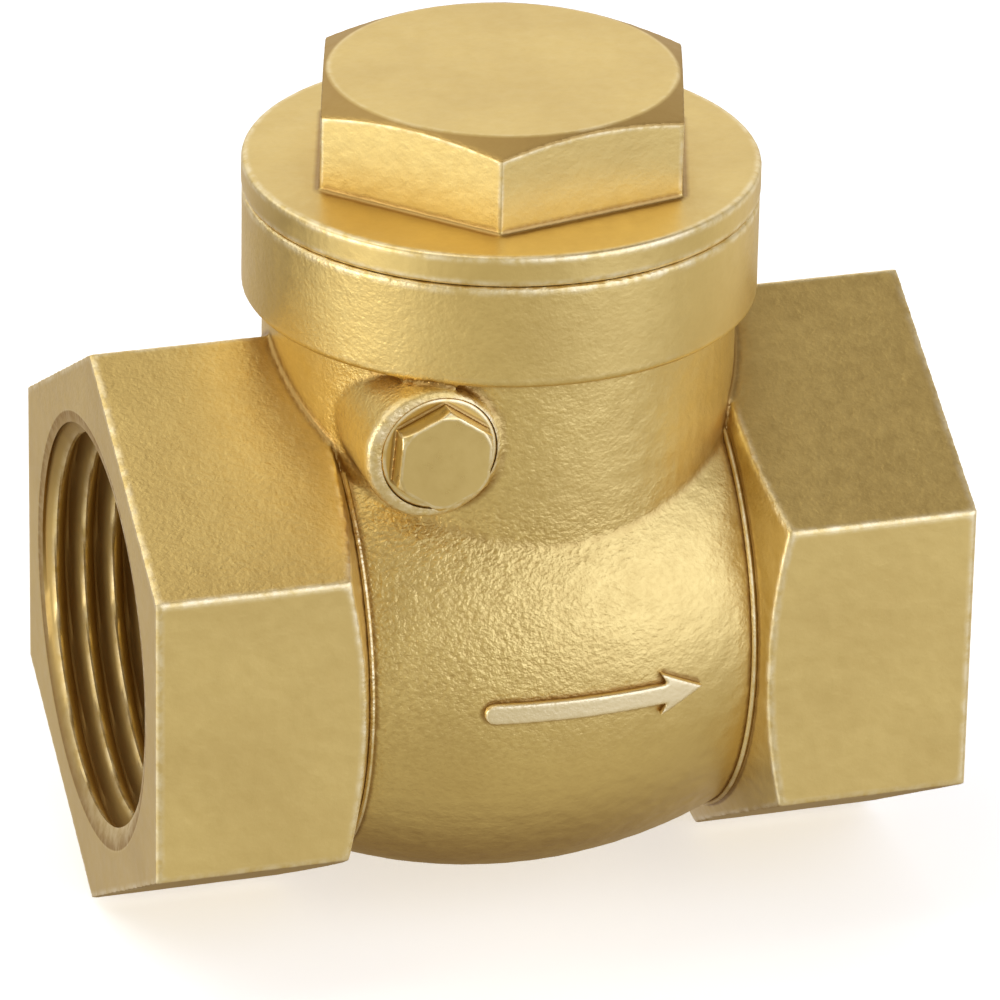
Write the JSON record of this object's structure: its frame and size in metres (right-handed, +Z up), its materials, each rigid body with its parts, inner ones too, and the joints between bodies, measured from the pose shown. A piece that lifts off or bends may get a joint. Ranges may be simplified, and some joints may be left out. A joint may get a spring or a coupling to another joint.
{
  "type": "swing check valve",
  "caption": "Inline brass swing check valve: barrel body with female threaded hexagon ends, raised neck with screwed hexagon cap, and a rubber-faced hinged flap inside.",
  "frame": {"origin": "bottom centre of the valve's bounding box: on the bonnet axis, level with the lowest edge of the hexagon ends; the flow axis is 23.09 mm above it", "axes": "+X downstream along the flow axis, from inlet to outlet; +Z up the bonnet axis through the cap; the hinge-pin plug and the flow arrow face -Y"},
  "size_m": [0.064, 0.0436, 0.0661],
  "materials": {
    "cast_brass": "shot-blasted satin casting",
    "turned_brass": "turned, fine tool marks",
    "stainless_steel": "ground and drawn stainless",
    "black_rubber": "matt moulded nitrile",
    "gasket_fibre": "pressed sealing fibre, matt"
  },
  "bodies": {
    "body": {"valve_body": "cast_brass"},
    "flap": {"hinge_arm": "turned_brass"},
    "disc": {"disc_holder": "turned_brass", "rubber_facing": "black_rubber", "facing_washer": "turned_brass", "facing_nut": "turned_brass", "hanger_washer": "stainless_steel", "hanger_nut": "turned_brass", "split_pin": "stainless_steel"},
    "pin": {"hinge_pin": "stainless_steel"},
    "cap_seal": {"cap_gasket": "gasket_fibre"},
    "cap": {"bonnet_cap": "cast_brass"},
    "plug_seal": {"plug_washer": "gasket_fibre"},
    "plug": {"pin_plug": "cast_brass"}
  },
  "joints": [
    {"name": "flap_swing", "type": "hinge", "parent": "body", "child": "flap", "pos_m": [-0.0098, 0, 0.04339], "axis": [0, -1, 0], "range_deg": [0, 60]},
    {"name": "disc_spin", "type": "hinge", "parent": "flap", "child": "disc", "pos_m": [-0.0098, 0, 0.02309], "axis": [1, 0, 0], "continuous": true},
    {"name": "pin_spin", "type": "hinge", "parent": "body", "child": "pin", "pos_m": [-0.0098, 0, 0.04339], "axis": [0, -1, 0], "continuous": true},
    {"name": "cap_lift", "type": "slide", "parent": "body", "child": "cap_seal", "axis": [0, 0, 1], "range_m": [0, 0.0091]},
    {"name": "cap_turn", "type": "hinge", "parent": "cap_seal", "child": "cap", "pos_m": [0, 0, 0.05699], "axis": [0, 0, 1], "range_deg": [0, 2160]},
    {"name": "plug_slide", "type": "slide", "parent": "body", "child": "plug_seal", "axis": [0, -1, 0], "range_m": [0, 0.0031]},
    {"name": "plug_turn", "type": "hinge", "parent": "plug_seal", "child": "plug", "pos_m": [-0.0098, -0.0164, 0.04339], "axis": [0, -1, 0], "range_deg": [0, 1080]}
  ],
  "couplings": [
    {"joint": "cap_lift", "follows": "cap_turn", "m_per_rad": 0.00023873},
    {"joint": "plug_slide", "follows": "plug_turn", "m_per_rad": 0.00015915}
  ]
}
